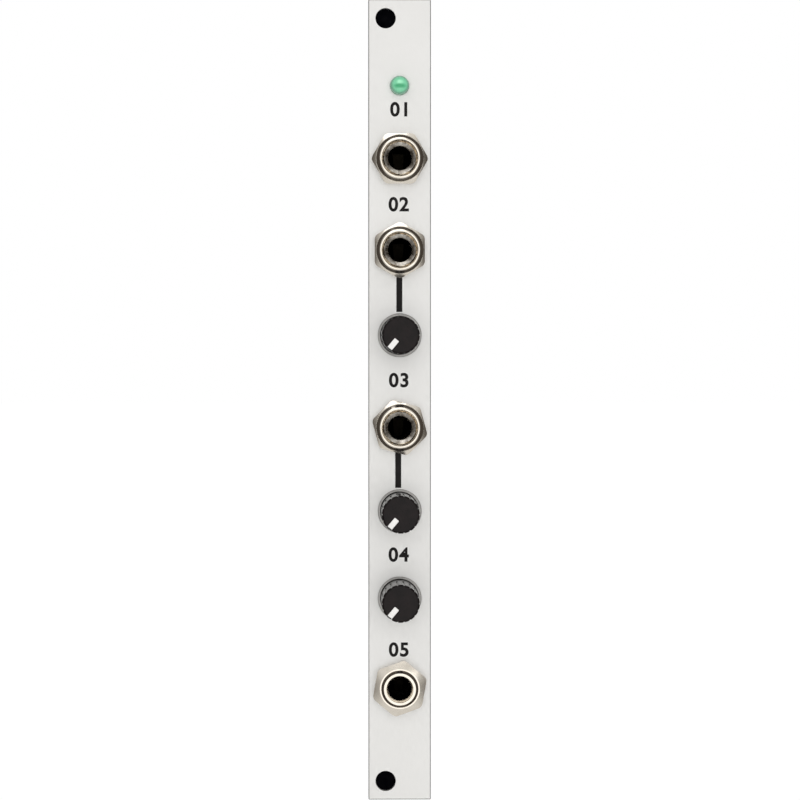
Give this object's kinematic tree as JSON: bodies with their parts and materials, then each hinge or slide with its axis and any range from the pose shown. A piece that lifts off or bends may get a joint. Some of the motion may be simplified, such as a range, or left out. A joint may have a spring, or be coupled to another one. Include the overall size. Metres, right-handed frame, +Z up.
{
  "type": "rack synthesiser module",
  "caption": "Very slim rack module for a modular synthesiser: silver panel with plug sockets, black splined shafts and a green lamp, on two circuit boards.",
  "frame": {"origin": "centre of the module's bounding box; the panel's rear face, which seats on the rails, is the plane y = -15.3 mm", "axes": "+X to the player's right, -Y out of the front panel, +Z up the panel"},
  "size_m": [0.01, 0.054, 0.1284],
  "materials": {
    "anodised_panel": "pale silver anodised aluminium, satin",
    "nickel": "bright nickel plate with a warm tint",
    "black_moulding": "black moulded plastic, matte",
    "black_shaft": "black moulded plastic, satin",
    "white_pointer": "white moulded plastic",
    "tinned_contact": "tinned spring bronze",
    "zinc_bushing": "zinc-plated casting, satin grey",
    "track_board": "brown laminate",
    "green_lens": "translucent green lamp epoxy",
    "black_board": "glass-fibre board with black lacquer",
    "chip_package": "black moulded package",
    "tantalum_case": "yellow moulded case",
    "crystal_lid": "plated metal lid"
  },
  "bodies": {
    "module": {"front_panel": "anodised_panel", "jack_1_nut": "nickel", "jack_1_bushing": "nickel", "jack_1_housing": "black_moulding", "jack_1_tip_contact": "tinned_contact", "jack_1_switch_contact": "tinned_contact", "jack_2_nut": "nickel", "jack_2_bushing": "nickel", "jack_2_housing": "black_moulding", "jack_2_tip_contact": "tinned_contact", "jack_2_switch_contact": "tinned_contact", "jack_3_nut": "nickel", "jack_3_bushing": "nickel", "jack_3_housing": "black_moulding", "jack_3_tip_contact": "tinned_contact", "jack_3_switch_contact": "tinned_contact", "jack_4_nut": "nickel", "jack_4_bushing": "nickel", "jack_4_housing": "black_moulding", "jack_4_tip_contact": "tinned_contact", "jack_4_switch_contact": "tinned_contact", "pot_1_bushing": "zinc_bushing", "pot_1_case": "black_moulding", "pot_1_track": "track_board", "pot_2_bushing": "zinc_bushing", "pot_2_case": "black_moulding", "pot_2_track": "track_board", "pot_3_bushing": "zinc_bushing", "pot_3_case": "black_moulding", "pot_3_track": "track_board", "status_led": "green_lens", "control_board": "black_board", "main_board": "black_board", "upper_socket_strip": "black_moulding", "upper_pin_strip": "black_moulding", "lower_socket_strip": "black_moulding", "lower_pin_strip": "black_moulding", "power_header": "black_moulding", "microcontroller": "chip_package", "converter_chip": "chip_package", "output_amplifier": "chip_package", "input_amplifier": "chip_package", "voltage_regulator": "chip_package", "positive_rail_capacitor": "tantalum_case", "negative_rail_capacitor": "tantalum_case", "positive_rail_diode": "chip_package", "negative_rail_diode": "chip_package", "clock_crystal": "crystal_lid"},
    "pot_1_rotor": {"pot_1_shaft": "black_shaft", "pot_1_pointer": "white_pointer"},
    "pot_2_rotor": {"pot_2_shaft": "black_shaft", "pot_2_pointer": "white_pointer"},
    "pot_3_rotor": {"pot_3_shaft": "black_shaft", "pot_3_pointer": "white_pointer"}
  },
  "joints": [
    {"name": "pot_1_turn", "type": "hinge", "parent": "module", "child": "pot_1_rotor", "pos_m": [0, -0.0153, 0.0105], "axis": [0, 1, 0], "range_deg": [0, 280]},
    {"name": "pot_2_turn", "type": "hinge", "parent": "module", "child": "pot_2_rotor", "pos_m": [0, -0.0153, -0.01775], "axis": [0, 1, 0], "range_deg": [0, 280]},
    {"name": "pot_3_turn", "type": "hinge", "parent": "module", "child": "pot_3_rotor", "pos_m": [0, -0.0153, -0.0318], "axis": [0, 1, 0], "range_deg": [0, 280]}
  ]
}
